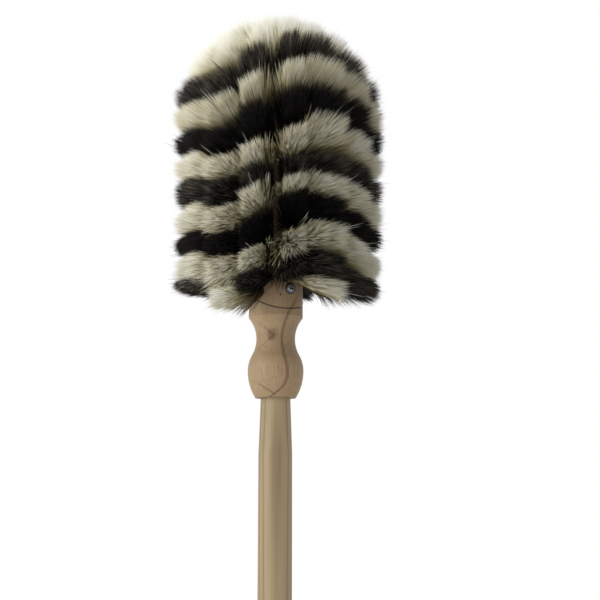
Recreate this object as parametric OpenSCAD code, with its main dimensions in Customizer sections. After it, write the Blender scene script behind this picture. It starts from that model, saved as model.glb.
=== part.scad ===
// Cobweb brush: long soft hair tufts set along a spiral in a turned wooden head block,
// on a round wooden handle that one screw holds in the block's socket.
// Millimetres. The origin is the centre of the handle's lower end, +Z runs up the handle.
// Heights on the head block are counted from its lower edge.

/* [Handle] */
// Length of the handle, with the stretch inside the socket
handle_len = 1200; // [400:10:1600]
// Diameter of the handle
handle_d = 28; // [26:0.5:32]
// Diameter of the handle where it enters the socket
handle_neck_d = 24.8; // [23:0.2:25.6]
// Diameter of the handle's tip at the end of the socket
handle_tip_d = 21.5; // [18:0.5:22.5]
// Length of the cone from the full diameter down to the socket
handle_cone_len = 46; // [20:2:80]
// Radius of the rounded lower end
handle_end_r = 5; // [2:0.5:9]

/* [Head block] */
// Depth that the handle sits in the block
socket_depth = 100; // [92:1:120]
// Diameter of the block's lower edge
edge_d = 34; // [31:0.2:37]
// Largest diameter of the bulb
bulb_d = 46.8; // [44:0.2:52]
// Height of the bulb's widest place
bulb_z = 22.6; // [19:0.2:26]
// Smallest diameter, at the waist
waist_d = 32.6; // [31:0.2:34]
// Height of the waist
waist_z = 49.6; // [47:0.2:52]
// Height of the shoulder, where the straight core starts
shoulder_z = 67.5; // [65:0.5:72]
// Diameter of the straight core that holds the tufts
core_d = 45.6; // [44:0.2:50]
// Diameter of the small pilot hole
pilot_d = 1.6; // [1:0.1:2.5]
// Depth of the pilot hole
pilot_depth = 7; // [4:0.5:9]
// Height of the pilot hole
pilot_z = 84.4; // [78:0.2:88]
// Direction of the pilot hole, seen from above
pilot_az = -79; // [-84:1:-72]

/* [Tufts] */
// Diameter of the whole hair head
head_d = 176; // [150:1:210]
// Diameter of a tuft's hole
hole_d = 5.5; // [4.5:0.1:5.8]
// Depth of a tuft's hole along the straight core
hole_depth = 9; // [6:0.5:9.5]
// Depth of a tuft's hole in the dome
crown_hole_depth = 7; // [5:0.5:7]
// Tufts in one turn of the spiral
columns = 10; // [8:1:10]
// Turns of the spiral
turns = 9; // [7:1:10]
// Height of the last hole that the spiral reaches
root_z = 97.5; // [97:0.5:104]
// Rise of the holes in one turn
root_pitch = 15.9; // [14:0.1:17]
// Height of the hair ends where the spiral reaches its last hole
tip_z = 79.4; // [75:0.2:84]
// Rise of the hair ends from one band to the next
tip_pitch = 22.8; // [22:0.1:23.6]
// Rise of the hair ends within one band, from its end to its start
tip_lift = 12; // [6:0.5:15]
// Direction of the spiral's start, seen from above
first_az = -67; // [-69:1:-65]
// Height by which neighbouring strands step up and down
strand_step = 2.5; // [0:0.25:4]
// Strands in one tuft of the spiral
strands = 4; // [3:1:5]
// Clear gap between strands side by side, at their thickest place
strand_gap = 1.2; // [0.8:0.1:2.5]
// Clear gap between strands above each other, at their thickest place
band_gap = 5; // [4:0.25:8]
// Share of its length at which a strand is thickest
bulge_at = 0.75; // [0.6:0.01:0.85]
// Length of the root bundle that stands out of its hole
root_proud = 2.5; // [2:0.1:4]

/* [Single tuft] */
// Direction of the single tuft below the spiral, seen from above
single_az = -121; // [-123:1:-119]
// Height of its hole
single_root_z = 87.5; // [86:0.25:88]
// Height of its hair ends
single_tip_z = 65; // [61:0.5:66]

/* [Crown] */
// Steepness of the holes' places on the dome in the lower crown row
lower_root_up = 35; // [33:1:37]
// Steepness of the hair ends' places on the dome in the lower crown row
lower_tip_up = 38; // [36:1:40]
// Steepness of the holes' places on the dome in the upper crown row
upper_root_up = 60; // [58:1:61]
// Steepness of the outer hair ends in the upper crown row
upper_outer_up = 52; // [51:0.5:54]
// Steepness of the inner hair ends in the upper crown row
upper_inner_up = 65; // [64:0.5:67]
// Steepness of the outer hair ends of the top tuft
top_outer_up = 77.5; // [77:0.5:79]

/* [Anchors] */
// Thickness of the flat wire anchor across each tuft
anchor_t = 0.4; // [0.3:0.05:0.6]
// Width of the anchor along the hole
anchor_w = 1.8; // [1.2:0.1:2.5]
// Height of the anchor above the bottom of the hole
anchor_up = 0.8; // [0.5:0.1:1.5]

/* [Screw] */
// Height of the fixing screw
screw_z = 90; // [84:0.2:90.2]
// Direction of the fixing screw, seen from above
screw_az = -57; // [-60:1:-55]
// Diameter of the screw's head
screw_head_d = 9.6; // [7.5:0.1:9.8]
// Height of the screw's head
screw_head_h = 2.8; // [2.2:0.1:3.4]
// Diameter of the thread
screw_d = 4.2; // [3.5:0.1:5]
// Length of the screw under its head
screw_len = 22; // [16:0.5:26]
// Distance from one thread turn to the next
thread_pitch = 1.8; // [1.4:0.1:2.4]
// Depth of the thread
thread_depth = 0.6; // [0.4:0.05:0.8]
// Width of the cross recess over its arms
recess_w = 4.8; // [3.5:0.1:5.4]
// Width of one arm of the recess
recess_arm = 0.95; // [0.7:0.05:1.3]
// Depth of the recess
recess_depth = 1.7; // [1:0.1:1.9]

/* [Fits] */
// Clearance round the handle in its socket
socket_gap = 0.15; // [0.1:0.05:0.3]
// Clearance beyond the handle's tip
socket_end_gap = 0.5; // [0.3:0.1:0.9]
// Clearance round a tuft's root in its hole
root_gap = 0.15; // [0.1:0.05:0.25]
// Clearance round an anchor, and round the screw's thread
metal_gap = 0.1; // [0.05:0.05:0.2]

/* [Hidden] */

$fn = 96;
core_r = core_d / 2;
head_r = head_d / 2;
edge_r = edge_d / 2;
bulb_r = bulb_d / 2;
waist_r = waist_d / 2;
// Lower edge of the head block, above the handle's lower end
block_z = handle_len - socket_depth;
// Centre of the core's dome and of the hair's dome
dome_z = root_z + turns * root_pitch;
// Hollow of the waist, an arc through the waist and the shoulder
waist_curve = arc_r(core_r - waist_r, shoulder_z - waist_z);
waist_x = waist_r + waist_curve;
// Lower arc of the bulb, from the edge to the widest place
bulb_low_curve = arc_r(bulb_r - edge_r, bulb_z);
// Upper arc of the bulb, which runs smoothly into the waist
bulb_off = waist_x - bulb_r;
bulb_rise = waist_z - bulb_z;
bulb_top_curve = (bulb_off * bulb_off + bulb_rise * bulb_rise - waist_curve * waist_curve)
    / (2 * (bulb_r - waist_r));
turn_z = bulb_z + bulb_rise * bulb_top_curve / (bulb_top_curve + waist_curve);

// Width over which the strands of one tuft spread at the root
root_spread = 0.7 * hole_d;
// Depth that a strand's base sinks into its root bundle
strand_sink = 1;
// Half thickness of a strand at its base
base_half = 0.2;
// Share of its thickest size that a strand keeps at its end
end_share = 0.4;
// Tufts and strands of the crown rows
lower_tufts = 8;
lower_strands = 4;
upper_tufts = 4;
upper_outer_strands = 6;
upper_inner_strands = 4;
top_strands = 8;
// Offset of the two rows of strands in an upper crown tuft, at the root
upper_root_v = 0.9;
// Radius of the ring of strands in the top tuft, at the root
top_root_r = 1.5;
// Heights of strands, from the spacing of their bands at the thickest place
band_h = between(root_pitch, tip_pitch, bulge_at) - band_gap;
single_h = between(root_z - single_root_z, tip_z - single_tip_z, bulge_at) * 2 - band_h - 2;
lower_h = band_h - 1.5;
upper_h = between(2 * upper_root_v, arc_len(head_r, upper_inner_up - upper_outer_up), bulge_at)
    - strand_gap - 1.5;
top_h = 8.5;
// Anchors reach across the hole to its wall
anchor_len = hole_d - metal_gap;
// Flat that the screw's head sits on, and how far it lies from the block's axis
seat_d = screw_head_d + 0.6;
seat_x = sqrt(core_r * core_r - seat_d * seat_d / 4);
thread_turns = floor((screw_len - 2 * thread_pitch) / thread_pitch);
// Colours of the wood, the metal and the three kinds of hair
beech = [0.80, 0.64, 0.50];
pine = [0.86, 0.73, 0.52];
zinc = [0.72, 0.73, 0.75];
cream = [0.84, 0.81, 0.71];
black = [0.09, 0.08, 0.08];
grey = [0.33, 0.29, 0.26];
band_colours = [grey, cream, black, cream];

// Radius of an arc that leaves one end square to x and has moved x sideways at height z
function arc_r(x, z) = (x * x + z * z) / (2 * x);
function between(a, b, t) = a + (b - a) * t;
function arc_len(r, deg) = r * deg * PI / 180;
function unit(v) = v / norm(v);
function out_dir(az, up) = [cos(up) * cos(az), cos(up) * sin(az), sin(up)];
function side_dir(az) = [-sin(az), cos(az), 0];
function up_dir(az, up) = [-sin(up) * cos(az), -sin(up) * sin(az), cos(up)];
// A place on a round column with a dome on it: s runs up the side and on over the dome
function on_column(r, s, az) =
    s <= dome_z ? [r * cos(az), r * sin(az), s]
    : [0, 0, dome_z] + r * out_dir(az, (s - dome_z) / r * 180 / PI);
function on_dome(r, up) = dome_z + arc_len(r, up);
// Radius of the ring on which the inner corners of a crown row's strands lie
function ring_at(up, h) = head_r * cos(up) - h / 2 * sin(up);
function steepness(p, q) = atan2(q[2] - p[2], norm([q[0], q[1]]) - norm([p[0], p[1]]));

// A tuft: the middle of its hole's mouth, its direction and steepness, the hole's depth,
// the run of its hair ends up the head, and its strands
function tuft(az, root_s, tip_s, depth, locks) =
    let (
        root = on_column(core_r, root_s, az),
        tip = on_column(head_r, tip_s, az)
    )
    [root, az, steepness(root, tip), depth, tip_s, locks];

// A row of n strands over a span of az degrees: each has its turn and its rise at the end,
// its place in the root bundle, and its half width and half height where it is thickest
function lock_row(n, span, rise, step, root_v, ring_r, h) =
    let (w = between(root_spread / n, arc_len(ring_r, span / n), bulge_at) - strand_gap)
    [for (i = [0:n - 1])
        let (f = (i + 0.5) / n - 0.5)
        [f * span, rise + step * (i % 2 * 2 - 1), f * root_spread, root_v, w / 2, h / 2]];

// The part of a turn that is still to go at column c
function turn_left(c) = 1 - c / columns;
function column_az(c) = first_az + c * 360 / columns;
function turn_tuft(k, c) =
    tuft(
        column_az(c),
        root_z + root_pitch * (k - 1 + turn_left(c)),
        tip_z + tip_pitch * (k - 1) + tip_lift * turn_left(c),
        hole_depth,
        lock_row(strands, 360 / columns, 0, strand_step, 0, head_r, band_h)
    );
function turn_tufts(k) = [for (c = [0:columns - 1]) turn_tuft(k, c)];

single_tuft = tuft(
    single_az, single_root_z, single_tip_z, hole_depth,
    lock_row(strands, 360 / columns, 0, 0, 0, head_r, single_h)
);
start_list = [turn_tuft(0, 0), single_tuft];

lower_list = [for (i = [0:lower_tufts - 1])
    tuft(
        first_az + (i + 0.5) * 360 / lower_tufts,
        on_dome(core_r, lower_root_up), on_dome(head_r, lower_tip_up), crown_hole_depth,
        lock_row(lower_strands, 360 / lower_tufts, 0, 0, 0, ring_at(lower_tip_up, lower_h), lower_h)
    )];

upper_mid_up = (upper_outer_up + upper_inner_up) / 2;
upper_step = arc_len(head_r, upper_mid_up - upper_outer_up);
upper_locks = concat(
    lock_row(upper_outer_strands, 360 / upper_tufts, -upper_step, 0, -upper_root_v,
        ring_at(upper_outer_up, upper_h), upper_h),
    lock_row(upper_inner_strands, 360 / upper_tufts, upper_step, 0, upper_root_v,
        ring_at(upper_inner_up, upper_h), upper_h)
);
upper_list = [for (i = [0:upper_tufts - 1])
    tuft(first_az + i * 360 / upper_tufts, on_dome(core_r, upper_root_up),
        on_dome(head_r, upper_mid_up), crown_hole_depth, upper_locks)];

// Strands of the top tuft stand in a ring round one in the middle
top_half_w = 3.5;
top_locks = concat(
    [[0, 0, 0, 0, top_half_w, top_half_w]],
    [for (i = [0:top_strands - 1])
        let (a = i * 360 / top_strands)
        [a, -arc_len(head_r, 90 - top_outer_up), top_root_r * sin(a), -top_root_r * cos(a),
            top_half_w, top_h / 2]]
);
top_list = [tuft(0, on_dome(core_r, 90), on_dome(head_r, 90), crown_hole_depth, top_locks)];

function all_tufts() = concat(
    start_list,
    [for (k = [1:turns]) each turn_tufts(k)],
    lower_list, upper_list, top_list
);

// Turns +Z of what it draws into the tuft's own direction, at the mouth of its hole
module at_tuft(t) {
    translate(t[0]) rotate([0, 90 - t[2], t[1]]) children();
}

module tuft_hole(t) {
    at_tuft(t) translate([0, 0, -t[3]]) cylinder(d = hole_d, h = t[3] + 2 * root_proud);
}

module anchor(t, length, gap) {
    size = [anchor_t + gap, length, anchor_w + gap];
    at_tuft(t)
        translate([0, 0, anchor_up + anchor_w / 2 - t[3]])
            cube(size, center = true);
}

// A four-sided strand that swells from its base to bulge_at and narrows to its end
module strand(t, lock) {
    base = t[0] + (root_proud - strand_sink) * out_dir(t[1], t[2])
        + lock[2] * side_dir(t[1]) + lock[3] * up_dir(t[1], t[2]);
    end = on_column(head_r, t[4] + lock[1], t[1] + lock[0]);
    dir = unit(end - base);
    up = unit(cross(dir, side_dir(t[1] + lock[0])));
    side = cross(up, dir);
    sections = [
        [0, base_half, base_half],
        [bulge_at, lock[4], lock[5]],
        [1, lock[4] * end_share, lock[5] * end_share]
    ];
    corners = [[-1, -1], [1, -1], [1, 1], [-1, 1]];
    points = [for (s = sections, c = corners)
        between(base, end, s[0]) + c[0] * s[1] * side + c[1] * s[2] * up];
    walls = [for (j = [0:1], i = [0:3])
        let (a = 4 * j + i, b = 4 * j + (i + 1) % 4)
        each [[a, a + 4, b + 4], [a, b + 4, b]]];
    polyhedron(points, concat([[0, 1, 2], [0, 2, 3]], walls, [[11, 10, 9], [11, 9, 8]]));
}

// The doubled root bundle fills the hole, and the strands rise from its end
module hair_tuft(t) {
    difference() {
        union() {
            at_tuft(t)
                translate([0, 0, root_gap - t[3]])
                    cylinder(d = hole_d - 2 * root_gap, h = t[3] - root_gap + root_proud);
            for (lock = t[5]) strand(t, lock);
        }
        anchor(t, 2 * hole_d, 2 * metal_gap);
    }
}

module hair_tufts(list, hair) {
    color(hair) translate([0, 0, block_z]) for (t = list) hair_tuft(t);
}

module anchors(list) {
    color(zinc) translate([0, 0, block_z]) for (t = list) anchor(t, anchor_len, 0);
}

module handle() {
    r = handle_d / 2;
    end_arc = [for (a = [-90:10:0])
        [r - handle_end_r + handle_end_r * cos(a), handle_end_r + handle_end_r * sin(a)]];
    color(pine) difference() {
        rotate_extrude()
            polygon(concat(
                [[0, 0]], end_arc,
                [[r, block_z - handle_cone_len], [handle_neck_d / 2, block_z],
                    [handle_tip_d / 2, handle_len], [0, handle_len]]
            ));
        at_screw() screw_hole();
    }
}

// Outline of the head block from its axis outwards
module block_outline() {
    wide = max(bulb_r, core_r) + 1;
    intersection() {
        translate([bulb_r - bulb_low_curve, bulb_z]) circle(r = bulb_low_curve);
        square([wide, bulb_z]);
    }
    intersection() {
        translate([bulb_r - bulb_top_curve, bulb_z]) circle(r = bulb_top_curve);
        translate([0, bulb_z]) square([wide, turn_z - bulb_z]);
    }
    difference() {
        translate([0, turn_z]) square([wide, shoulder_z - turn_z]);
        translate([waist_x, waist_z]) circle(r = waist_curve);
    }
    translate([0, shoulder_z]) square([core_r, dome_z - shoulder_z]);
    intersection() {
        translate([0, dome_z]) circle(r = core_r);
        translate([0, dome_z]) square(core_r);
    }
}

module head_block() {
    neck_r = handle_neck_d / 2 + socket_gap;
    tip_r = handle_tip_d / 2 + socket_gap;
    color(beech) translate([0, 0, block_z]) difference() {
        rotate([0, 0, first_az + 180 / columns]) rotate_extrude() block_outline();
        cylinder(r1 = neck_r, r2 = tip_r, h = socket_depth + socket_end_gap);
        for (t = all_tufts()) tuft_hole(t);
        translate([0, 0, -block_z]) at_screw() screw_hole();
        rotate([0, 90, pilot_az]) translate([-pilot_z, 0, core_r - pilot_depth])
            cylinder(d = pilot_d, h = 2 * pilot_depth);
    }
}

// Puts the screw's axis on +Z, with the flat under its head at 0
module at_screw() {
    translate([0, 0, block_z + screw_z]) rotate([0, 90, screw_az]) translate([0, 0, seat_x])
        children();
}

// Room for the screw: the flat for its head, and the bore for its thread
module screw_hole() {
    cylinder(d = seat_d, h = screw_head_h);
    translate([0, 0, -screw_len - metal_gap])
        cylinder(d = screw_d + 2 * metal_gap, h = screw_len + 2 * metal_gap);
}

module fixing_screw() {
    head_r_top = screw_head_d / 2;
    crown_r = arc_r(screw_head_h * 0.55, head_r_top);
    core = screw_d / 2 - thread_depth;
    thread = [for (i = [0:thread_turns - 1])
        each [[core, -2 - i * thread_pitch], [screw_d / 2, -2 - (i + 0.5) * thread_pitch]]];
    color(zinc) at_screw() {
        difference() {
            intersection() {
                cylinder(d = screw_head_d, h = screw_head_h);
                translate([0, 0, screw_head_h - crown_r]) sphere(r = crown_r);
            }
            for (a = [0, 90])
                rotate([0, 0, 45 + a])
                    translate([0, 0, screw_head_h - recess_depth / 2 + 0.5])
                        cube([recess_w, recess_arm, recess_depth + 1], center = true);
        }
        rotate_extrude()
            polygon(concat(
                [[0, 0.2], [screw_d / 2 - 0.2, 0.2], [screw_d / 2 - 0.2, -1.5]],
                thread,
                [[core, -2 - thread_turns * thread_pitch], [0, -screw_len]]
            ));
    }
}

handle();
head_block();
fixing_screw();
hair_tufts(start_list, cream);  // start_tufts
for (k = [1:turns])
    hair_tufts(turn_tufts(k), band_colours[(k - 1) % len(band_colours)]);
hair_tufts(lower_list, cream);  // crown_tufts_lower
hair_tufts(upper_list, cream);  // crown_tufts_upper
hair_tufts(top_list, cream);  // crown_tuft_top
anchors(start_list);  // anchors_start
for (k = [1:turns])
    anchors(turn_tufts(k));
anchors(concat(lower_list, upper_list, top_list));  // anchors_crown
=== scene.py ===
# Looks of a cobweb brush: soft hair tufts in nine spiral turns on a turned beech head block,
# with a round pine handle. Metres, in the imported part's frame, +Z up the handle.
import math

import bpy
import numpy as np
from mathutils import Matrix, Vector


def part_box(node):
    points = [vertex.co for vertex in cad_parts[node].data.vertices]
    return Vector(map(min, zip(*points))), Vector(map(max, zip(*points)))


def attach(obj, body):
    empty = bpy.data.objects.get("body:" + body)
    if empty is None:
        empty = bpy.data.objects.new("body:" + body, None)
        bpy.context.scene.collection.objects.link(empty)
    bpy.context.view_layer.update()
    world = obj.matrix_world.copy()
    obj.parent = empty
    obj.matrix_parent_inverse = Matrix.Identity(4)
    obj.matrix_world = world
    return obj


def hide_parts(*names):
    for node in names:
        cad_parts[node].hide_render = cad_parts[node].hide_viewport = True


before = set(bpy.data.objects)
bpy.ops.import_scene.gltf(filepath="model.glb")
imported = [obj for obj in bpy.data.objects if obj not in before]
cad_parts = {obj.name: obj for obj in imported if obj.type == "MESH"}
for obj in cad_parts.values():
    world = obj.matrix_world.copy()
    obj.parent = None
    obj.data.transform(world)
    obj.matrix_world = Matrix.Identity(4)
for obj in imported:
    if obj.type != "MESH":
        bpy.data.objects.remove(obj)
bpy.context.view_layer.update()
print("frame loaded:", len(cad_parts), "nodes")

mm = 0.001
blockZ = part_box("head_block")[0].z  # lower edge of the head block


# Camera and stage

view = {
    "place": (0.0205, -0.9, 1.030),
    "tilt": 9.66,  # degrees that it looks up
    "lens": 64.5,
    "sensor": 36,  # mm wide
    "lampsAim": (0, 0, 1.2),
    "floorRings": (0.0005, 0.3, 1.0, 3.0),  # radii
    "floorSides": 96,
    "floorColour": (232, 231, 228),
    "worldLight": 0.52,
    "lamps": [
        # name, place, size, watts
        ("keyLamp", (-2.3, -1.6, 1.9), 1.6, 41),
        ("fillLamp", (0.2, -2.3, 0.5), 1.6, 7),
        ("topLamp", (-0.5, -0.2, 2.9), 1.6, 20),
    ],
}


def linear(rgb):
    # Screen colour 0-255 to linear: ((c + 0.055) / 1.055) ^ 2.4, or c / 12.92 when dark
    c = np.array(rgb, float) / 255
    value = np.where(c > 0.04045, ((c + 0.055) / 1.055) ** 2.4, c / 12.92)
    return (*[float(x) for x in value], 1.0)


class Wire:
    # A node's socket, whose operators add Math nodes to its tree
    def __init__(self, tree, socket):
        self.tree, self.socket = tree, socket

    def maths(self, operation, *others):
        values = dict(enumerate((self, *others)))
        return addNode(self.tree, "ShaderNodeMath", {"operation": operation}, values)

    def __add__(self, other):
        return self.maths("ADD", other)

    def __sub__(self, other):
        return self.maths("SUBTRACT", other)

    def __rsub__(self, other):
        return addNode(self.tree, "ShaderNodeMath", {"operation": "SUBTRACT"}, {0: other, 1: self})

    def __mul__(self, other):
        return self.maths("MULTIPLY", other)

    def __truediv__(self, other):
        return self.maths("DIVIDE", other)

    def __pow__(self, other):
        return self.maths("POWER", other)

    def __abs__(self):
        return self.maths("ABSOLUTE")

    __radd__ = __add__
    __rmul__ = __mul__

    def smooth(self, low, high):  # 0 below low, 1 above high, with a soft step between
        return addNode(self.tree, "ShaderNodeMapRange", {"interpolation_type": "SMOOTHSTEP"},
                       {"Value": self, "From Min": low, "From Max": high})


def addNode(tree, kind, settings, values, output=0):
    # Adds one node: its settings first, then the values or links of its sockets
    node = tree.nodes.new(kind)
    for key, setting in settings.items():
        if key == "stops":
            ramp = node.color_ramp
            while len(ramp.elements) < len(setting):
                ramp.elements.new(0.5)
            for element, (position, rgb) in zip(ramp.elements, setting):
                element.position, element.color = position, linear(rgb)
        else:
            setattr(node, key, setting)
    for key, value in values.items():
        if isinstance(value, Wire):
            tree.links.new(value.socket, node.inputs[key])
        else:
            node.inputs[key].default_value = value
    return Wire(tree, node.outputs[output]) if len(node.outputs) else node


def blendColours(factor, first, second):
    # Colour mix: first * (1 - factor) + second * factor
    return addNode(factor.tree, "ShaderNodeMix", {"data_type": "RGBA"},
                   {0: factor, 6: first, 7: second}, output=2)


def newMaterial(name):
    # A material with its Principled shader, and the tree that both lie in
    material = bpy.data.materials.new(name)
    material.use_nodes = True
    tree = material.node_tree
    return material, tree, tree.nodes["Principled BSDF"]


def fillShader(shader, **values):
    # Sets or links the Principled shader's sockets, by name with _ for a space
    for key, value in values.items():
        socket = shader.inputs[key.replace("_", " ")]
        if isinstance(value, Wire):
            value.tree.links.new(value.socket, socket)
        else:
            socket.default_value = value


def objectAxes(tree):
    # x, y and z of Object coordinates, in metres
    place = addNode(tree, "ShaderNodeTexCoord", {}, {}, output="Object")
    return [addNode(tree, "ShaderNodeSeparateXYZ", {}, {0: place}, output=k) for k in range(3)]


def noise(tree, axes, scales, detail=2.0, roughness=0.5):
    # Noise of the point (x, y, z), each axis times its own scale
    scaled = [axis * scale for axis, scale in zip(axes, scales)]
    point = addNode(tree, "ShaderNodeCombineXYZ", {}, dict(enumerate(scaled)))
    return addNode(tree, "ShaderNodeTexNoise", {"noise_dimensions": "3D"},
                   {"Vector": point, "Scale": 1.0, "Detail": detail, "Roughness": roughness})


def makeCamera():
    # Looks along +Y and up by the tilt
    camera = bpy.data.objects.new("camera", bpy.data.cameras.new("camera"))
    camera.location = view["place"]
    camera.rotation_euler = (math.radians(90 + view["tilt"]), 0, 0)
    camera.data.lens = view["lens"]
    camera.data.sensor_width = view["sensor"]
    bpy.context.scene.collection.objects.link(camera)
    bpy.context.scene.camera = camera


def makeLamps():
    # Round lamps, each turned so that its face looks at lampsAim
    for name, place, size, watts in view["lamps"]:
        data = bpy.data.lights.new(name, "AREA")
        data.shape = "DISK"
        data.size, data.energy = size, watts
        lamp = bpy.data.objects.new(name, data)
        lamp.location = place
        away = np.array(place) - view["lampsAim"]
        turn = math.atan2(away[1], away[0]) + math.pi / 2
        lamp.rotation_euler = (math.atan2(math.hypot(away[0], away[1]), away[2]), 0, turn)
        bpy.context.scene.collection.objects.link(lamp)


def makeWorld():
    # White to the camera, to gloss and through glass; an even pale light to all else
    world = bpy.data.worlds.new("studio")
    bpy.context.scene.world = world
    world.use_nodes = True
    tree = world.node_tree
    tree.nodes.clear()
    camera, gloss, through = [addNode(tree, "ShaderNodeLightPath", {}, {}, output=name) for name in
                              ("Is Camera Ray", "Is Glossy Ray", "Is Transmission Ray")]
    seen = camera.maths("MAXIMUM", gloss).maths("MAXIMUM", through)
    white = (1, 1, 1, 1)
    light = addNode(tree, "ShaderNodeBackground", {}, {"Color": white, "Strength": view["worldLight"]})
    plain = addNode(tree, "ShaderNodeBackground", {}, {"Color": white, "Strength": 1.0})
    both = addNode(tree, "ShaderNodeMixShader", {}, {0: seen, 1: light, 2: plain})
    addNode(tree, "ShaderNodeOutputWorld", {}, {"Surface": both})


def meshFrom(name, points, faces, cornerUv=None):
    # points (n, 3), faces (m, 3 or 4) of point numbers, cornerUv one (u, v) for each face corner
    mesh = bpy.data.meshes.new(name)
    mesh.vertices.add(len(points))
    mesh.vertices.foreach_set("co", points.astype(np.float32).ravel())
    mesh.loops.add(faces.size)
    mesh.loops.foreach_set("vertex_index", faces.astype(np.int32).ravel())
    mesh.polygons.add(len(faces))
    mesh.polygons.foreach_set("loop_start", np.arange(0, faces.size, faces.shape[1], dtype=np.int32))
    if cornerUv is not None:
        mesh.uv_layers.new(name="OFBake").data.foreach_set("uv", cornerUv.astype(np.float32).ravel())
    mesh.update(calc_edges=True)
    mesh.shade_smooth()
    piece = bpy.data.objects.new(name, mesh)
    bpy.context.scene.collection.objects.link(piece)
    return piece


def makeFloor():
    # A flat ring grid: (r cos a, r sin a, 0)
    rings, sides = len(view["floorRings"]), view["floorSides"]
    r = np.array(view["floorRings"])[:, None]
    a = np.linspace(0, 2 * math.pi, sides, endpoint=False)[None, :]
    points = np.stack([r * np.cos(a), r * np.sin(a), 0 * r * a], -1).reshape(-1, 3)
    row, column = np.meshgrid(np.arange(rings - 1), np.arange(sides), indexing="ij")
    after = (column + 1) % sides
    faces = np.stack([row * sides + column, (row + 1) * sides + column,
                      (row + 1) * sides + after, row * sides + after], -1).reshape(-1, 4)
    floor = meshFrom("floor", points, faces)
    material, tree, shader = newMaterial("paleFloor")
    fillShader(shader, Base_Color=linear(view["floorColour"]), Roughness=0.9)
    floor.data.materials.append(material)


makeCamera()
makeLamps()
makeWorld()
makeFloor()
bpy.context.scene.view_settings.view_transform = "Standard"
print("camera and stage made")


# Places of the tufts. Their roots are the drilled holes; their ends part into narrower clumps.
# Turns round the head are in degrees from the front, growing to the right.

head = {
    "coreRadius": 22.8 * mm,
    "hairRadius": 91 * mm,
    # of the hair's ends: how much wider they stand for each metre up, how much higher for each
    # metre on the dome, and their bow to the right: how far at its middle, bend in 1/m, and the
    # height of that middle
    "flare": 0.28,
    "swell": 0.02,
    "sway": (2.7 * mm, 0.16, 180 * mm),
    "columns": 10,  # holes in one turn
    "turns": 9,
    "firstTurn": 23,  # of the first hole
    "rootZ": 97.5 * mm,
    "rootPitch": 15.9 * mm,
    "domeZ": 240.6 * mm,  # centre of the dome
    "screw": (33, 24 * mm, 90 * mm),  # turn, distance from the axis and height of its head
    "tipZ": 87.0 * mm,
    "tipPitch": 22.1 * mm,
    # edges of the clumps in degrees, with the parting between -7 and 2.5, and how far each stands
    # above the even turn, in mm
    "clumps": [
        (-49, -22.7, -15), (-22.7, -7, -3.7), (2.5, 18, 7.3), (18, 46.7, 12.6),
        (46.7, 65.2, 5.7), (65.2, 88, -0.9), (88, 111, 2), (111, 134, 6),
        (134, 157, 8), (157, 180, 9), (180, 203, 9), (203, 226, 8),
        (226, 249, 5), (249, 271, 0), (271, 291, -4), (291, 311, -7),
    ],
    # turn and clump that differ from that: further rise in mm, height as a share of the even one
    "own": {
        (9, 0): (6, 1.1), (9, 1): (14, 1.3), (9, 2): (21, 1.4), (9, 3): (19, 1.2),
        (9, 4): (11, 1.0), (9, 15): (2, 1.0), (8, 0): (6, 1.0),
        (8, 1): (8, 1.0), (8, 2): (11, 1.0), (8, 3): (10, 1.1), (8, 4): (8, 1.0),
        (7, 1): (4, 1.2), (7, 2): (6, 1.4), (7, 3): (5, 1.3), (7, 4): (7, 1.1),
        (6, 1): (-5, 1.0), (6, 2): (-3.5, 1.2), (6, 3): (4, 1.4), (6, 4): (3, 1.0),
        (5, 2): (-5, 0.95), (5, 3): (-5, 0.95),
        (4, 1): (3, 1.15), (4, 2): (4.5, 0.6), (4, 3): (0, 0.9),
        (3, 1): (-3, 1.1), (3, 2): (7, 1.4), (3, 3): (2, 1.25),
        (2, 1): (-3, 1.0), (2, 2): (-2, 1.2), (2, 3): (3, 1.1),
        (2, 0): (-1, 1.3), (2, 14): (-1, 1.3), (2, 15): (-1, 1.3),
        (1, 1): (3, 0.7), (1, 4): (-6, 1.1), (1, 5): (-1, 1.0), (1, 6): (6, 0.8),
        (1, 14): (8, 0.5), (1, 15): (9, 0.4),
        **{(1, i): (9, 0.8) for i in range(7, 14)},
    },
    "unseen": (6, 15),  # clumps that the photo hides, from and up to
    "unseenRise": 2.5 * mm,  # how unevenly their ends stand
    "unseenShift": 3.0,  # how far their edges stray, in degrees
    "shiftSeed": 50,
    "slantOver": 5,  # a clump slants by the rise between its two neighbours over this
    "leftOut": (1, 0),  # in turn 1 the single tuft stands in the place of the first clump
    # root turn, root height, edges, end height and height share of the two lowest tufts
    "startTufts": [(23, 97.5, 15, 48, 76, 1.3), (-31, 87.5, -43, -23, 73, 1.0)],
    # rows on the dome: tufts, first root's turn, root angle, clumps, end angle, half height,
    # share of the turns' own rise that the ends follow
    "lowerRow": (8, 45.5, 35, 16, 34.5, 19.5 * mm, 0.8),
    "upperRow": (4, 23, 60, 12, 58.0, 20 * mm, 0.4),
    "topHalf": 31 * mm,  # half height of the tuft on top
}


def onColumn(r, s, az):
    # Up the side: (r cos az, r sin az, s); past domeZ over a dome, at the angle (s - domeZ) / r
    up = np.maximum(s - head["domeZ"], 0) / r
    flat = r * np.cos(up)
    z = np.minimum(s, head["domeZ"]) + r * np.sin(up) + blockZ
    return np.stack(np.broadcast_arrays(flat * np.cos(az), flat * np.sin(az), z), -1)


def clumpRow(rootTurn, rootS, first, last, endS, halfS, slant=0.0):
    # One clump: root azimuth and height, end azimuth and height, half width, half height, slant
    return (math.radians(rootTurn - 90), rootS, math.radians((first + last) / 2 - 90), endS,
            math.radians(last - first) / 2, halfS, slant)


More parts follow.
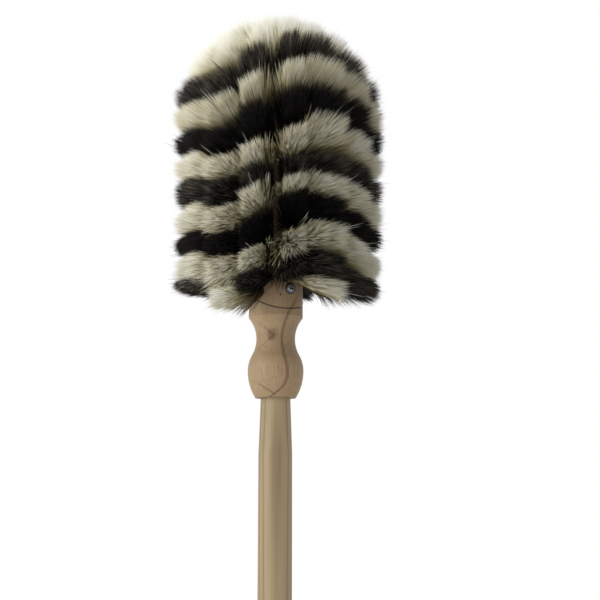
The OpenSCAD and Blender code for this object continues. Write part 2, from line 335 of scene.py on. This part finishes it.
def turnLifts(k):
    # How far the ends of turn k's clumps stand above the even turn: lift, own rise and, on the
    # clumps that the photo hides, chance
    lifts = np.array([lift + head["own"].get((k, i), (0, 1))[0]
                      for i, (first, last, lift) in enumerate(head["clumps"])]) * mm
    first, last = head["unseen"]
    lifts[first:last] += np.random.default_rng(k).normal(0, head["unseenRise"], last - first)
    return lifts


def turnClumps(k):
    # Turn k: each clump grows from the nearest hole, at rootZ + rootPitch (k - column / columns)
    lifts = turnLifts(k)
    slants = (np.roll(lifts, -1) - np.roll(lifts, 1)) / head["slantOver"]
    hiddenFrom, hiddenTo = head["unseen"]
    shift = head["unseenShift"]
    strays = np.zeros(len(head["clumps"]) + 1)
    strays[hiddenFrom + 1:hiddenTo] = np.random.default_rng(head["shiftSeed"] + k).uniform(
        -shift, shift, hiddenTo - hiddenFrom - 1)
    gap = 360 / head["columns"]
    rows = []
    for i, (left, right, lift) in enumerate(head["clumps"]):
        if (k, i) == head["leftOut"]:
            continue
        first, last = left + strays[i], right + strays[i + 1]
        column = round(((first + last) / 2 - head["firstTurn"]) / gap) % head["columns"]
        share = head["own"].get((k, i), (0, 1))[1]
        rows.append(clumpRow(head["firstTurn"] + column * gap,
                             head["rootZ"] + head["rootPitch"] * (k - column / head["columns"]),
                             first, last, head["tipZ"] + head["tipPitch"] * (k - 1) + lifts[i],
                             share * head["tipPitch"] / 2, slants[i]))
    return np.array(rows)


def domeClumps(tufts, firstRoot, rootUp, clumps, endUp, halfS, follow):
    # A row on the dome: heights are arcs, r times the angle, and follow the last turn's rise
    middles = [(first + last) / 2 for first, last, lift in head["clumps"]]
    lifts = turnLifts(head["turns"])
    span = 360 / clumps
    rows = []
    for i in range(clumps):
        middle = firstRoot + (i + 0.5) * span - 180 / tufts
        root = firstRoot + round((middle - firstRoot) / (360 / tufts)) * 360 / tufts
        rise = np.interp(middle, middles, lifts, period=360)
        rows.append(clumpRow(root, head["domeZ"] + head["coreRadius"] * math.radians(rootUp),
                             middle - span / 2, middle + span / 2,
                             head["domeZ"] + head["hairRadius"] * math.radians(endUp)
                             + follow * rise, halfS))
    return np.array(rows)


# Hair

hair = {
    "strandsEach": 1000,  # in a clump of the turns
    "lowerEach": 1000,
    "upperEach": 1150,
    "topEach": 7000,
    "rings": (0.0, 0.84),  # places of a strand's rings, from root to end
    "radii": (0.13 * mm, 0.2 * mm),  # at those rings
    "holeRadius": 2.4 * mm,
    "bundle": 0.6,  # share of the hole that the strands fill, and how far they keep to the side
    "sided": 0.5,  # that they end at
    "sunk": 2.0 * mm,
    "stiff": 0.5,  # how long a strand keeps the clump's own direction
    "bendAt": 0.45,  # place of its bend, from root to end
    "locks": 26,  # small locks in one clump
    "lockPull": 0.22,
    "underShare": 0.4,  # share of shorter strands inside the clump
    "underShort": 38 * mm,
    "underSpread": (1.25, 1.8),  # how much wider they spread than the others, and in the parting
    "underHigh": 1.3,  # the most that they spread upwards
    "partingHalf": 0.3,  # half width of the parting, in radians round the head's front
    "underStop": 0.62,  # how much of a strand's colours the shortest lack at their end
    "paintedDepthShade": 0.15,  # painted shade: how much darker the shortest strands, deep in the clump, are made
    "ragged": 3.2 * mm,
    "rounding": 11.5 * mm,  # how much shorter the strands at a clump's border are
    "borderPower": 3,  # how close to the border that begins
    "borderEven": 0.35,  # where between middle and border a strand has the clump's own tone
    "soft": 0.9 * mm,  # how far a strand's end strays sideways
    "strayShare": 0.008,
    "strayOut": 1.8 * mm,  # how far stray strands stand out, and how far they stray sideways
    "straySpread": 2.25 * mm,
    "uneven": 0.12,  # how much the clumps differ in size
    "tones": 64,
    "toneWidth": 0.45,  # half width of a strand on the map, in columns of its tone
    "clearRadius": 5.6 * mm,  # no strand hangs this near to the view of the screw
    "behind": 2 * mm,  # unless it lies so far behind the screw's head
    "lookSteps": 12,  # points at which a stretch of strand is looked at for that
    "seed": 100,  # of the first piece; the others count on from it
    "startPaintedLight": 0.7,  # painted light: how much lighter than their kind's tones these tufts are, against the shade of the hair above them
    # painted light: how much lighter the crown's tufts are made, standing in for light on the dome
    "crownPaintedLight": 0.5,
    # how much lighter each turn's tones are; the darkening of turn 8 is painted shade, against the top
    # lamp's light on its clumps
    "turnToneAndPaintedShade": {2: 0.14, 4: 0.04, 8: -0.2},
    "specular": 0.14,
}
hairTones = {
    # middle of the tones from 0 dark to 1 light, spread among locks, spread among strands,
    # and how much lighter the border of a clump is than its middle
    "cream": (0.6, 0.2, 0.22, 0.5),
    "black": (0.25, 0.1, 0.2, 0.4),
    "grey": (0.12, 0.3, 0.36, 0.15),
}
hairColours = {
    # dark strands at root, middle and end, then light strands at the same places; the dark root
    # colours are partly the hair's own colour and partly painted shade deep in the tufts
    "cream": ((66, 52, 36), (146, 132, 92), (214, 207, 178),
              (112, 94, 62), (214, 206, 164), (254, 254, 250)),
    "black": ((10, 8, 7), (5, 5, 5), (7, 6, 6), (30, 21, 16), (11, 9, 8), (40, 30, 23)),
    "grey": ((16, 12, 9), (8, 7, 6), (12, 10, 9), (60, 47, 36), (74, 65, 56), (136, 127, 114)),
}
hairStops = (0.25, 0.72, 0.98)  # where on a strand those three colours lie


def hairMaterial(kind):
    # Colour from the strand's own map: u is its tone, v runs from root to end
    material, tree, shader = newMaterial(kind + "Hair")
    place = addNode(tree, "ShaderNodeUVMap", {"uv_map": "OFBake"}, {})
    tone, along = [addNode(tree, "ShaderNodeSeparateXYZ", {}, {0: place}, output=k) for k in (0, 1)]
    dark, light = [addNode(tree, "ShaderNodeValToRGB", {"stops": list(zip(hairStops, part))},
                           {0: along})
                   for part in (hairColours[kind][:3], hairColours[kind][3:])]
    fillShader(shader, Base_Color=blendColours(tone, dark, light), Roughness=0.7,
               Specular_IOR_Level=hair["specular"])
    return material


def unit(v):
    # v / |v|, the same way with the length 1
    return v / np.linalg.norm(v, axis=-1, keepdims=True)


def strandEnds(clumps, which, rng):
    # Ends fill a rounded square: (u, v) max(|u|, |v|) / (u^4 + v^4)^(1/4); at height h over rootZ
    # they stand 1 + flare h times as wide, swell (h + rootZ - domeZ) higher, and
    # sway - bend (h + rootZ - middle)^2 aside
    total = len(which)
    endAz, endS, halfAz, halfS, slant = clumps[which, 2:].T
    onTop = halfAz > 3  # the tuft on top of the dome goes all the way round
    u, v = rng.uniform(-1, 1, (2, total))
    square = np.maximum(abs(u), abs(v)) / (u ** 4 + v ** 4) ** 0.25
    u, v = u * square, v * square
    border = np.maximum(abs(u), abs(v)) ** hair["borderPower"]
    lockU, lockV, lockTone = rng.uniform(-1, 1, (3, len(clumps), hair["locks"]))
    nearest = ((u[:, None] - lockU[which]) ** 2 + (v[:, None] - lockV[which]) ** 2).argmin(1)
    pull = hair["lockPull"] * rng.random(total)
    u = u + (lockU[which, nearest] - u) * pull
    v = v + (lockV[which, nearest] - v) * pull
    v = np.where(onTop, np.sign(v) * np.sqrt(abs(v)), v)  # even over the top of the dome
    under = rng.random(total) < hair["underShare"]
    short = rng.random(total) * np.where(under, hair["underShort"], hair["ragged"])
    short = short + hair["rounding"] * border * ~onTop
    others, inParting = hair["underSpread"]
    parting = abs(endAz + math.pi / 2) < hair["partingHalf"]
    wider = np.where(under & ~onTop, np.where(parting, inParting, others), 1)
    u, v = u * wider, v * np.minimum(wider, hair["underHigh"])
    stray = rng.random(total) < hair["strayShare"]
    short = np.where(stray, -rng.random(total) * hair["strayOut"], short)
    end = onColumn(head["hairRadius"] - short, endS + v * halfS + u * slant, endAz + u * halfAz)
    height = end[:, 2] - blockZ
    sway, bend, level = head["sway"]
    end[:, :2] *= 1 + head["flare"] * (height - head["rootZ"])[:, None]
    end[:, 0] += sway - bend * (height - level) ** 2
    end[:, 2] += head["swell"] * np.maximum(height - head["domeZ"], 0)
    spread = np.where(stray, hair["straySpread"], hair["soft"])[:, None]
    end = end + spread * rng.normal(size=(total, 3))
    return end, u, v, short, border, lockTone[which, nearest]


def strandPaths(clumps, count, rng):
    # A strand is the curve (1-t)^2 A + 2t(1-t) M + t^2 E from A in the hole to its end E, where M
    # lies between the straight line and the clump's own direction. Strands that end at one side
    # of the clump also start there
    clumps = clumps.copy()
    clumps[:, 4:6] *= 1 + hair["uneven"] * rng.uniform(-1, 1, (len(clumps), 2))
    which = np.repeat(np.arange(len(clumps)), count)
    end, u, v, short, border, lockTone = strandEnds(clumps, which, rng)
    rootAz, rootS, endAz, endS = clumps[which, :4].T
    root = onColumn(head["coreRadius"], rootS, rootAz)
    along = unit(onColumn(head["hairRadius"], endS, endAz) - root)
    side = np.stack([-np.sin(endAz), np.cos(endAz), 0 * endAz], -1)
    over = np.cross(along, side)
    a, r = rng.random(len(which)) * 2 * math.pi, np.sqrt(rng.random(len(which)))
    start = (root - along * hair["sunk"] + hair["bundle"] * hair["holeRadius"] * r[:, None]
             * (np.cos(a)[:, None] * side + np.sin(a)[:, None] * over))
    start = start + hair["holeRadius"] * hair["sided"] * (u[:, None] * side + v[:, None] * over)
    length = np.linalg.norm(end - start, axis=1)[:, None]
    straight = start + hair["bendAt"] * (end - start)
    middle = straight + (start + along * hair["bendAt"] * length - straight) * hair["stiff"]
    t = np.array((*hair["rings"], 1.0))[None, :, None]
    paths = (1 - t) ** 2 * start[:, None] + 2 * t * (1 - t) * middle[:, None] + t ** 2 * end[:, None]
    kept = clearOfScrew(paths)
    depth = np.clip(short / hair["underShort"], 0, 1)
    return paths[kept], lockTone[kept], border[kept], depth[kept]


def clearOfScrew(paths):
    # A strand stays if none of its points P is within clearRadius of the line of sight d from the
    # screw's head S: |(P - S) - ((P - S) . d) d| > clearRadius, or P lies behind S
    turn, radius, height = head["screw"]
    az = math.radians(turn - 90)
    seat = np.array((radius * math.cos(az), radius * math.sin(az), blockZ + height))
    sight = unit(np.array(view["place"]) - seat)
    t = np.linspace(0, 1, hair["lookSteps"])[None, None, :, None]
    points = paths[:, :-1, None] * (1 - t) + paths[:, 1:, None] * t - seat
    ahead = points @ sight
    aside = np.linalg.norm(points - ahead[..., None] * sight, axis=-1)
    return ~((aside < hair["clearRadius"]) & (ahead > -hair["behind"])).any((1, 2))


def strandMesh(name, paths, tones, ends, rng):
    # Each ring has three corners, C + r (cos a side + sin a over); the end is one point. On the
    # map a strand has a column for its tone, and runs up to its own place in ends
    count, rings = len(paths), len(hair["rings"])
    chord = unit(paths[:, -1] - paths[:, 0])
    side = unit(np.cross(chord, unit(rng.normal(size=(count, 3)))))
    over = np.cross(chord, side)
    a = np.arange(3) * 2 * math.pi / 3
    cornerRay = np.cos(a)[None, :, None] * side[:, None] + np.sin(a)[None, :, None] * over[:, None]
    radii = np.array(hair["radii"])
    ringPoints = paths[:, :rings, None] + radii[None, :, None, None] * cornerRay[:, None]
    points = np.concatenate([ringPoints.reshape(count, rings * 3, 3), paths[:, -1:]], 1)
    faces, uv = [(0, 2, 1)], [((-1, 0), (1, 0), (0, 0.04))]
    for j in range(rings):
        low, high = (*hair["rings"], 1.0)[j:j + 2]
        for k in range(3):
            p, q = 3 * j + k, 3 * j + (k + 1) % 3
            if j < rings - 1:
                faces += [(p, q, q + 3), (p, q + 3, p + 3)]
                uv += [((-1, low), (1, low), (1, high)), ((-1, low), (1, high), (-1, high))]
            else:
                faces.append((p, q, 3 * rings))
                uv.append(((-1, low), (1, low), (0, 1)))
    faces, uv = np.array(faces), np.array(uv, float)
    allFaces = (faces[None] + (np.arange(count) * (3 * rings + 1))[:, None, None]).reshape(-1, 3)
    allUv = np.broadcast_to(uv, (count, *uv.shape)).copy()
    column = np.clip((tones * hair["tones"]).astype(int), 0, hair["tones"] - 1)
    allUv[..., 0] = (column[:, None, None] + 0.5 + hair["toneWidth"] * allUv[..., 0]) / hair["tones"]
    allUv[..., 1] *= ends[:, None, None]
    return meshFrom(name, points.reshape(-1, 3), allFaces, allUv.reshape(-1, 2))


def hairPiece(name, node, clumps, kind, seed, each, lighter=0.0):
    # All the strands of one node's tufts, in one piece; shorter strands are darker, as painted shade
    # deep in the clumps; lighter shifts all tones, painted light for the start and crown tufts
    rng = np.random.default_rng(seed)
    middle, lockSpread, strandSpread, borderLight = hairTones[kind]
    paths, lockTone, border, depth = strandPaths(np.array(clumps), each, rng)
    tones = (middle + lighter + lockSpread * lockTone + borderLight * (border - hair["borderEven"])
             - hair["paintedDepthShade"] * depth + rng.normal(0, strandSpread, len(paths)))
    ends = 1 - hair["underStop"] * depth
    piece = strandMesh(name, paths, np.clip(tones, 0, 0.999), ends, rng)
    piece.data.materials.append(materials[kind])
    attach(piece, "root")
    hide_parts(node)


materials = {kind: hairMaterial(kind) for kind in hairColours}
bandKinds = ("grey", "cream", "black", "cream")
seed = hair["seed"]
start = [clumpRow(turn, rootZ * mm, first, last, endZ * mm, share * head["tipPitch"] / 2)
         for turn, rootZ, first, last, endZ, share in head["startTufts"]]
hairPiece("startTufts", "start_tufts", start, "cream", seed, hair["strandsEach"],
          hair["startPaintedLight"])
for k in range(1, head["turns"] + 1):
    kind = bandKinds[(k - 1) % len(bandKinds)]
    hairPiece(f"hairTurn{k}", f"tufts_turn_{k}", turnClumps(k), kind, seed + k,
              hair["strandsEach"], hair["turnToneAndPaintedShade"].get(k, 0.0))
lower, upper = domeClumps(*head["lowerRow"]), domeClumps(*head["upperRow"])
top = [clumpRow(0, head["domeZ"] + head["coreRadius"] * math.pi / 2, -180, 180,
                head["domeZ"] + head["hairRadius"] * math.pi / 2, head["topHalf"])]
paintedCrownLight = hair["crownPaintedLight"]
hairPiece("crownLower", "crown_tufts_lower", lower, "cream", seed + 20, hair["lowerEach"], paintedCrownLight)
hairPiece("crownUpper", "crown_tufts_upper", upper, "cream", seed + 21, hair["upperEach"], paintedCrownLight)
hairPiece("crownTop", "crown_tuft_top", top, "cream", seed + 22, hair["topEach"], paintedCrownLight)
print("hair made")


# Wood

pine = {
    "light": (168, 149, 115), "dark": (106, 84, 57),
    # rings: width, slope, lean of their planes in degrees, shift, and share of the dark line that
    # starts at lateFrom of a ring; then shares of the flecks, the fibres and of dark all over
    "ring": 4.4 * mm, "slope": 0.0092, "lean": 4.0, "shift": 2.2 * mm,
    "ringShare": 0.5, "lateFrom": 0.35, "fleckShare": 0.0, "fibreShare": 0.35,
    "base": 0.14,
}
beech = {
    "light": (179, 153, 118), "dark": (96, 69, 46),
    "ring": 40 * mm, "slope": 0.05, "lean": 20.0, "shift": 8 * mm,
    "ringShare": 0.0, "lateFrom": 0.8, "fleckShare": 0.2, "fibreShare": 0.7,
    "base": 0.36,
    # painted shade: between the tufts, where the hair shades it, the wood is darkened: from this
    # height to that, and by how much
    "shade": (blockZ + 88 * mm, blockZ + 106 * mm, 0.45), "shadeColour": (62, 38, 18),
    # a thin dark line across the front: z = low + bow (x - middle)^2
    "line": {"low": blockZ + 72.8 * mm, "bow": 13.5, "middle": 8 * mm, "half": 0.6 * mm,
             "share": 0.85, "colour": (44, 32, 26)},
    # grain on the front of the collar, in mm from the axis and from the block's lower edge:
    # (height, x) of points on the long curved line, the corner (x, height) and slope of the two
    # lines that meet there, the dark patch at it (x, height, half width, half height), and
    # (height at x = 0, slope) of the lowest line
    "long": [(2.6, 0), (22.6, 10), (44, 5.6), (57, 6.5), (79, 16)],
    "longScale": 40,
    "corner": (-1.2, 51, 0.85),
    "patch": (-2.6, 51.5, 6, 7),
    "lowest": (1.8, -0.65),
    # of each mark: distance where it is full, where it ends, and how dark it is
    "longMark": (0.1, 2.3, 0.44),
    "cornerMark": (0.1, 2.4, 0.26),
    "patchMark": (0.05, 1.0, 0.42),
    "lowestMark": (0.4, 1.8, 0.3),
    "leftOnly": ((-18, -10), (-1, 1)),  # x where the corner's lines and the lowest one begin and end
    # painted light: the wood is made paler on the left, where the key lamp falls, in full up to the
    # first x and gone at the second; the second patch of it, painted light on the upper collar that
    # the hair above shades, lies above the heights that follow
    "paintedLight": (-22, -2, 0.2), "paintedLightUpper": (-6, 18, 0.22), "paintedLightHeights": (48, 62),
    "grainTop": (76, 88),
}
grain = {
    # scales of the noise along x, y and z, per metre
    "wander": (22, 22, 5.0), "fibre": (1100, 1100, 9), "patch": (40, 40, 7), "fleck": (900, 900, 130),
    "wanderWidth": 2.6 * mm, "lateEnd": 0.93, "fleckEdge": (0.62, 0.72), "patchShare": 0.3,
    "front": (-0.008, -0.003),  # y at which marks on the front are full and gone
    "lineFront": (-0.008, -0.004),
}


def darkMark(off, mark):
    # Full where off is below the first value, gone past the second, times the mark's own share
    full, gone, share = mark
    return (1 - off.smooth(full, gone)) * share


def collarGrain(x, y, z, wood):
    # Marks where |x - P(height)|, ||height - c| - slope (corner - x)| or the like is under a mm
    # or so, with P the quartic through the points of "long", all on the front only
    across, up = x / mm, (z - blockZ) / mm
    points = np.array(wood["long"], float)
    t = up / wood["longScale"] - 1
    course = 0
    for c in np.polyfit(points[:, 0] / wood["longScale"] - 1, points[:, 1], 4).tolist():
        course = t * course + c
    cornerX, cornerUp, slope = wood["corner"]
    arms = abs(abs(up - cornerUp) - (cornerX - across) * slope)
    patchX, patchUp, wide, high = wood["patch"]
    patchAcross, patchRise = (across - patchX) / wide, (up - patchUp) / high
    lowestUp, fall = wood["lowest"]
    begins, ends = wood["leftOnly"]
    left = (1 - across.smooth(*ends)) * across.smooth(*begins)
    marks = (darkMark(abs(across - course), wood["longMark"])
             + darkMark(arms, wood["cornerMark"]) * left
             + darkMark(patchAcross * patchAcross + patchRise * patchRise, wood["patchMark"])
             + darkMark(abs(up - lowestUp - across * fall), wood["lowestMark"]) * left)
    # painted light: paler on the left, where the key lamp falls, and on the upper collar under the
    # hair
    paintedLight = (darkMark(across, wood["paintedLight"])
            + darkMark(across, wood["paintedLightUpper"]) * up.smooth(*wood["paintedLightHeights"]))
    return (marks * (1 - y.smooth(*grain["front"])) - paintedLight) * (1 - up.smooth(*wood["grainTop"]))


def woodMaterial(name, wood):
    # Growth rings are planes (n . p + slope z) / ring, waved by noise; each ends in a thin dark line
    material, tree, shader = newMaterial(name)
    axes = x, y, z = objectAxes(tree)
    lean = math.radians(wood["lean"])
    wander = noise(tree, axes, grain["wander"]) - 0.5
    depth = (x * math.sin(lean) - y * math.cos(lean) + z * wood["slope"]
             + wander * grain["wanderWidth"])
    year = ((depth + wood["shift"]) / wood["ring"]).maths("FRACT")
    late = year.smooth(wood["lateFrom"], grain["lateEnd"]) * (1 - year.smooth(grain["lateEnd"], 1.0))
    fibre = noise(tree, axes, grain["fibre"], 2.0, 0.6) - 0.5
    patch = noise(tree, axes, grain["patch"]) - 0.5
    fleck = noise(tree, axes, grain["fleck"], 1.0).smooth(*grain["fleckEdge"]) * wood["fleckShare"]
    amount = ((late ** 2.0) * wood["ringShare"] + fibre * wood["fibreShare"]
              + patch * grain["patchShare"] + wood["base"] + fleck)
    if "long" in wood:
        amount = amount + collarGrain(x, y, z, wood)
    amount = amount.maths("MAXIMUM", 0.0).maths("MINIMUM", 1.0)
    colour = blendColours(amount, linear(wood["light"]), linear(wood["dark"]))
    # painted shade of the hair on the wood between the tufts
    if "shade" in wood:
        low, high, share = wood["shade"]
        colour = blendColours(z.smooth(low, high) * share, colour, linear(wood["shadeColour"]))
    if "line" in wood:
        line = wood["line"]
        aside = x - line["middle"]
        off = abs(z - (aside * aside * line["bow"] + line["low"]))
        mark = darkMark(off, (line["half"] * 0.6, line["half"] * 1.5, line["share"]))
        front = 1 - y.smooth(*grain["lineFront"])
        colour = blendColours(mark * front, colour, linear(line["colour"]))
    bump = addNode(tree, "ShaderNodeBump", {},
                   {"Strength": 0.25, "Distance": 0.3 * mm, "Height": fibre + late * 0.3})
    fillShader(shader, Base_Color=colour, Roughness=fibre * 0.2 + 0.58, Normal=bump)
    return material


# Metal, and the nodes whose own shape stays

def keepNode(name, material):
    # A CAD node whose shape is right gets its finish
    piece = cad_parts[name]
    piece.data.materials.clear()
    piece.data.materials.append(material)


wire = {"light": (150, 150, 150), "dark": (96, 98, 102), "roughness": 0.4, "cloud": (700, 700, 700)}
zinc = {
    # rim and cross are painted shade, glint a painted highlight
    "light": (140, 144, 150), "dark": (84, 87, 93), "paintedRimShade": (44, 46, 50), "cross": (22, 23, 26),
    "glint": (226, 230, 236), "cloud": (800, 800, 800), "roughness": 0.3,
    # from and to, in metres: half width of the cross's arms, their length, painted glints, the painted
    # shade of the rim
    "arm": (0.5 * mm, 0.75 * mm), "armEnd": (2.3 * mm, 2.6 * mm),
    "glintEnd": (2.4 * mm, 3.6 * mm), "paintedRimShadeFrom": (3.2 * mm, 4.6 * mm),
}


def metalMaterial(name, metal):
    # Plated metal: soft clouding in colour and roughness
    material, tree, shader = newMaterial(name)
    cloud = noise(tree, objectAxes(tree), metal["cloud"], 3.0)
    fillShader(shader, Base_Color=blendColours(cloud, linear(metal["light"]), linear(metal["dark"])),
               Metallic=1.0, Roughness=cloud * 0.2 + metal["roughness"])
    return material


def screwMaterial(name):
    # Zinc plate with painted shade: dark towards the head's rim and in the cross, whose arms are |a| <
    # 0.6 mm wide out to 2.4 mm from the screw's axis, and broken by noise with painted glints where
    # the light catches them
    material, tree, shader = newMaterial(name)
    axes = x, y, z = objectAxes(tree)
    turn, radius, height = head["screw"]
    az = math.radians(turn - 90)
    across = y * math.cos(az) - x * math.sin(az)
    up = z - (blockZ + height)
    radial = (across * across + up * up) ** 0.5
    arm = abs(across).maths("MINIMUM", abs(up))
    cross = (1 - arm.smooth(*zinc["arm"])) * (1 - radial.smooth(*zinc["armEnd"]))
    cloud = noise(tree, axes, zinc["cloud"], 3.0)
    glint = cloud.smooth(0.47, 0.53) * (1 - radial.smooth(*zinc["glintEnd"]))
    plate = blendColours(cloud, linear(zinc["light"]), linear(zinc["dark"]))
    # painted shade at the head's rim and in the cross's recess, then painted glints
    plate = blendColours(radial.smooth(*zinc["paintedRimShadeFrom"]) * 0.8, plate, linear(zinc["paintedRimShade"]))
    plate = blendColours(cross * 0.9, plate, linear(zinc["cross"]))
    fillShader(shader, Base_Color=blendColours(glint * 0.7, plate, linear(zinc["glint"])),
               Metallic=0.85, Roughness=cloud * 0.3 + zinc["roughness"])
    return material


keepNode("handle", woodMaterial("pineWood", pine))
keepNode("head_block", woodMaterial("beechWood", beech))
keepNode("fixing_screw", screwMaterial("zincPlate"))
wireMetal = metalMaterial("anchorWire", wire)
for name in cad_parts:
    if name.startswith("anchors"):
        keepNode(name, wireMetal)
print("wood and metal made")
